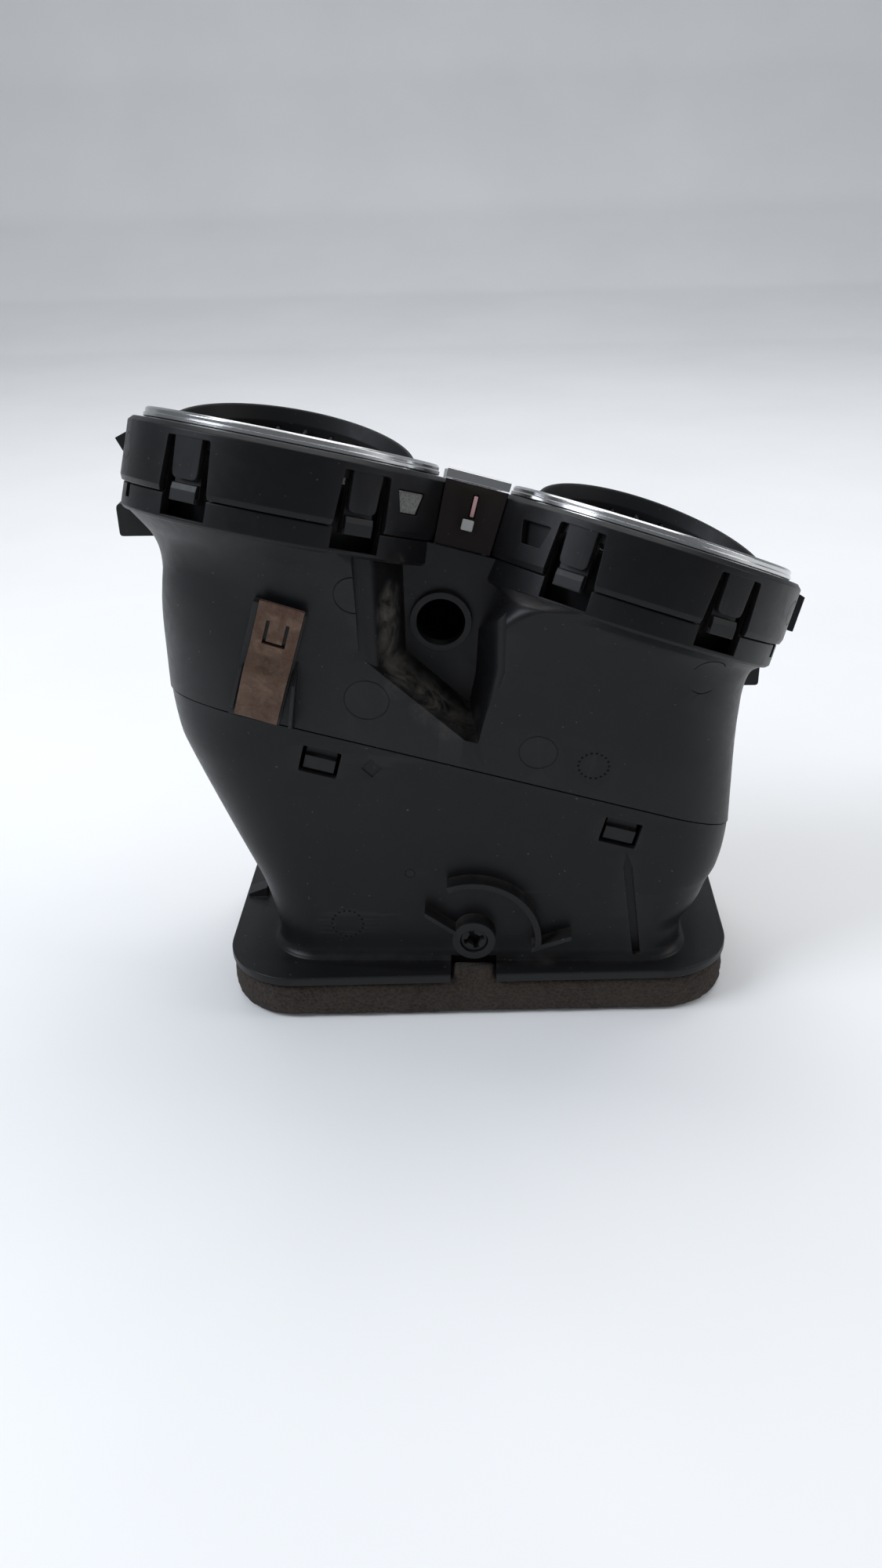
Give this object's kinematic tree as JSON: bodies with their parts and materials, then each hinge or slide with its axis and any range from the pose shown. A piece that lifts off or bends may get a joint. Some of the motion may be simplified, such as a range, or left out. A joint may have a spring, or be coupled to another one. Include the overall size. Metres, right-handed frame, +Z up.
{
  "type": "dashboard air vent",
  "caption": "Twin round dashboard air vent: two tilting nozzles with linked vanes on a forked duct with shut-off flaps, standing on a foam inlet gasket.",
  "frame": {"origin": "under the middle of the whole part, in the plane of the foam gasket's underside", "axes": "+Z up from the gasket to the outlets, +X to the right along the row of outlets seen from the front, +Y from the front to the back"},
  "size_m": [0.1902, 0.0876, 0.1721],
  "materials": {
    "black_plastic": "fine satin grain",
    "gasket_foam": "open-cell foam",
    "trim_chrome": "satin chrome plating",
    "gloss_black": "polished",
    "clip_steel": "spring steel with light rust",
    "pale_plastic": "acetal",
    "grey_felt": "felt",
    "pink_lens": "clear light guide",
    "grey_plastic": "satin"
  },
  "bodies": {
    "housing": {"upper_housing": "black_plastic", "lower_housing": "black_plastic", "foam_gasket": "gasket_foam", "left_collar": "black_plastic", "right_collar": "black_plastic", "left_trim_ring": "trim_chrome", "right_trim_ring": "trim_chrome", "left_nozzle_bush_1": "pale_plastic", "left_nozzle_bush_2": "pale_plastic", "right_nozzle_bush_1": "pale_plastic", "right_nozzle_bush_2": "pale_plastic", "view_slot_pad": "grey_felt", "bridge_panel": "gloss_black", "bridge_strip": "trim_chrome", "light_guide": "pink_lens", "light_guide_block": "grey_plastic", "spring_clip": "clip_steel"},
    "left_nozzle_unit": {"left_nozzle": "black_plastic"},
    "left_vane_body_1": {"left_vane_1": "black_plastic"},
    "left_vane_body_2": {"left_vane_2": "black_plastic"},
    "left_vane_body_3": {"left_vane_3": "black_plastic"},
    "left_vane_body_4": {"left_vane_4": "black_plastic", "left_vane_knob": "gloss_black"},
    "left_vane_body_5": {"left_vane_5": "black_plastic"},
    "left_vane_body_6": {"left_vane_6": "black_plastic"},
    "left_vane_body_7": {"left_vane_7": "black_plastic"},
    "left_link_bar_body": {"left_link_bar": "black_plastic"},
    "right_nozzle_unit": {"right_nozzle": "black_plastic"},
    "right_vane_body_1": {"right_vane_1": "black_plastic"},
    "right_vane_body_2": {"right_vane_2": "black_plastic"},
    "right_vane_body_3": {"right_vane_3": "black_plastic"},
    "right_vane_body_4": {"right_vane_4": "black_plastic", "right_vane_knob": "gloss_black"},
    "right_vane_body_5": {"right_vane_5": "black_plastic"},
    "right_vane_body_6": {"right_vane_6": "black_plastic"},
    "right_vane_body_7": {"right_vane_7": "black_plastic"},
    "right_link_bar_body": {"right_link_bar": "black_plastic"},
    "left_flap_unit": {"left_flap": "black_plastic", "left_flap_seal": "gasket_foam", "left_flap_spindle": "black_plastic", "flap_joining_pin": "clip_steel"},
    "right_flap_unit": {"right_flap": "black_plastic", "right_flap_seal": "gasket_foam", "right_flap_spindle": "black_plastic"}
  },
  "joints": [
    {"name": "left_nozzle_tilt", "type": "hinge", "parent": "housing", "child": "left_nozzle_unit", "pos_m": [-0.04522, -0.00005, 0.14717], "axis": [0.977, 0, -0.213], "range_deg": [-42, 8]},
    {"name": "left_vane_1_turn", "type": "hinge", "parent": "left_nozzle_unit", "child": "left_vane_body_1", "pos_m": [-0.0675, -0.00005, 0.15203], "axis": [0.0074, 0.9994, 0.0341], "range_deg": [-28, 28]},
    {"name": "left_vane_2_turn", "type": "hinge", "parent": "left_nozzle_unit", "child": "left_vane_body_2", "pos_m": [-0.06007, -0.00005, 0.15041], "axis": [0.0074, 0.9994, 0.0341], "range_deg": [-28, 28]},
    {"name": "left_vane_3_turn", "type": "hinge", "parent": "left_nozzle_unit", "child": "left_vane_body_3", "pos_m": [-0.05265, -0.00005, 0.14879], "axis": [0.0074, 0.9994, 0.0341], "range_deg": [-28, 28]},
    {"name": "left_vane_swing", "type": "hinge", "parent": "left_nozzle_unit", "child": "left_vane_body_4", "pos_m": [-0.04522, -0.00005, 0.14717], "axis": [0.0074, 0.9994, 0.0341], "range_deg": [-28, 28]},
    {"name": "left_vane_5_turn", "type": "hinge", "parent": "left_nozzle_unit", "child": "left_vane_body_5", "pos_m": [-0.0378, -0.00005, 0.14555], "axis": [0.0074, 0.9994, 0.0341], "range_deg": [-28, 28]},
    {"name": "left_vane_6_turn", "type": "hinge", "parent": "left_nozzle_unit", "child": "left_vane_body_6", "pos_m": [-0.03037, -0.00005, 0.14393], "axis": [0.0074, 0.9994, 0.0341], "range_deg": [-28, 28]},
    {"name": "left_vane_7_turn", "type": "hinge", "parent": "left_nozzle_unit", "child": "left_vane_body_7", "pos_m": [-0.02295, -0.00005, 0.14231], "axis": [0.0074, 0.9994, 0.0341], "range_deg": [-28, 28]},
    {"name": "left_link_slide", "type": "slide", "parent": "left_nozzle_unit", "child": "left_link_bar_body", "axis": [0.977, 0, -0.213], "range_m": [-0.0032, 0.0032]},
    {"name": "right_nozzle_tilt", "type": "hinge", "parent": "housing", "child": "right_nozzle_unit", "pos_m": [0.04891, -0.00005, 0.12142], "axis": [0.9494, 0, -0.314], "range_deg": [-42, 8]},
    {"name": "right_vane_1_turn", "type": "hinge", "parent": "right_nozzle_unit", "child": "right_vane_body_1", "pos_m": [0.02726, -0.00005, 0.12858], "axis": [0.011, 0.9994, 0.0331], "range_deg": [-28, 28]},
    {"name": "right_vane_2_turn", "type": "hinge", "parent": "right_nozzle_unit", "child": "right_vane_body_2", "pos_m": [0.03448, -0.00005, 0.12619], "axis": [0.011, 0.9994, 0.0331], "range_deg": [-28, 28]},
    {"name": "right_vane_3_turn", "type": "hinge", "parent": "right_nozzle_unit", "child": "right_vane_body_3", "pos_m": [0.04169, -0.00005, 0.12381], "axis": [0.011, 0.9994, 0.0331], "range_deg": [-28, 28]},
    {"name": "right_vane_swing", "type": "hinge", "parent": "right_nozzle_unit", "child": "right_vane_body_4", "pos_m": [0.04891, -0.00005, 0.12142], "axis": [0.011, 0.9994, 0.0331], "range_deg": [-28, 28]},
    {"name": "right_vane_5_turn", "type": "hinge", "parent": "right_nozzle_unit", "child": "right_vane_body_5", "pos_m": [0.05612, -0.00005, 0.11903], "axis": [0.011, 0.9994, 0.0331], "range_deg": [-28, 28]},
    {"name": "right_vane_6_turn", "type": "hinge", "parent": "right_nozzle_unit", "child": "right_vane_body_6", "pos_m": [0.06334, -0.00005, 0.11665], "axis": [0.011, 0.9994, 0.0331], "range_deg": [-28, 28]},
    {"name": "right_vane_7_turn", "type": "hinge", "parent": "right_nozzle_unit", "child": "right_vane_body_7", "pos_m": [0.07056, -0.00005, 0.11426], "axis": [0.011, 0.9994, 0.0331], "range_deg": [-28, 28]},
    {"name": "right_link_slide", "type": "slide", "parent": "right_nozzle_unit", "child": "right_link_bar_body", "axis": [0.9494, 0, -0.314], "range_m": [-0.0032, 0.0032]},
    {"name": "left_flap_turn", "type": "hinge", "parent": "housing", "child": "left_flap_unit", "pos_m": [0.00379, 0.00254, 0.0235], "axis": [0, -1, 0], "range_deg": [0, 80]},
    {"name": "right_flap_turn", "type": "hinge", "parent": "housing", "child": "right_flap_unit", "pos_m": [0.00379, 0.00254, 0.0235], "axis": [0, 1, 0], "range_deg": [0, 80]}
  ],
  "couplings": [
    {"joint": "left_vane_1_turn", "follows": "left_vane_swing", "ratio": 1},
    {"joint": "left_vane_2_turn", "follows": "left_vane_swing", "ratio": 1},
    {"joint": "left_vane_3_turn", "follows": "left_vane_swing", "ratio": 1},
    {"joint": "left_vane_5_turn", "follows": "left_vane_swing", "ratio": 1},
    {"joint": "left_vane_6_turn", "follows": "left_vane_swing", "ratio": 1},
    {"joint": "left_vane_7_turn", "follows": "left_vane_swing", "ratio": 1},
    {"joint": "left_link_slide", "follows": "left_vane_swing", "m_per_rad": -0.0064},
    {"joint": "right_vane_1_turn", "follows": "right_vane_swing", "ratio": 1},
    {"joint": "right_vane_2_turn", "follows": "right_vane_swing", "ratio": 1},
    {"joint": "right_vane_3_turn", "follows": "right_vane_swing", "ratio": 1},
    {"joint": "right_vane_5_turn", "follows": "right_vane_swing", "ratio": 1},
    {"joint": "right_vane_6_turn", "follows": "right_vane_swing", "ratio": 1},
    {"joint": "right_vane_7_turn", "follows": "right_vane_swing", "ratio": 1},
    {"joint": "right_link_slide", "follows": "right_vane_swing", "m_per_rad": -0.0064}
  ]
}
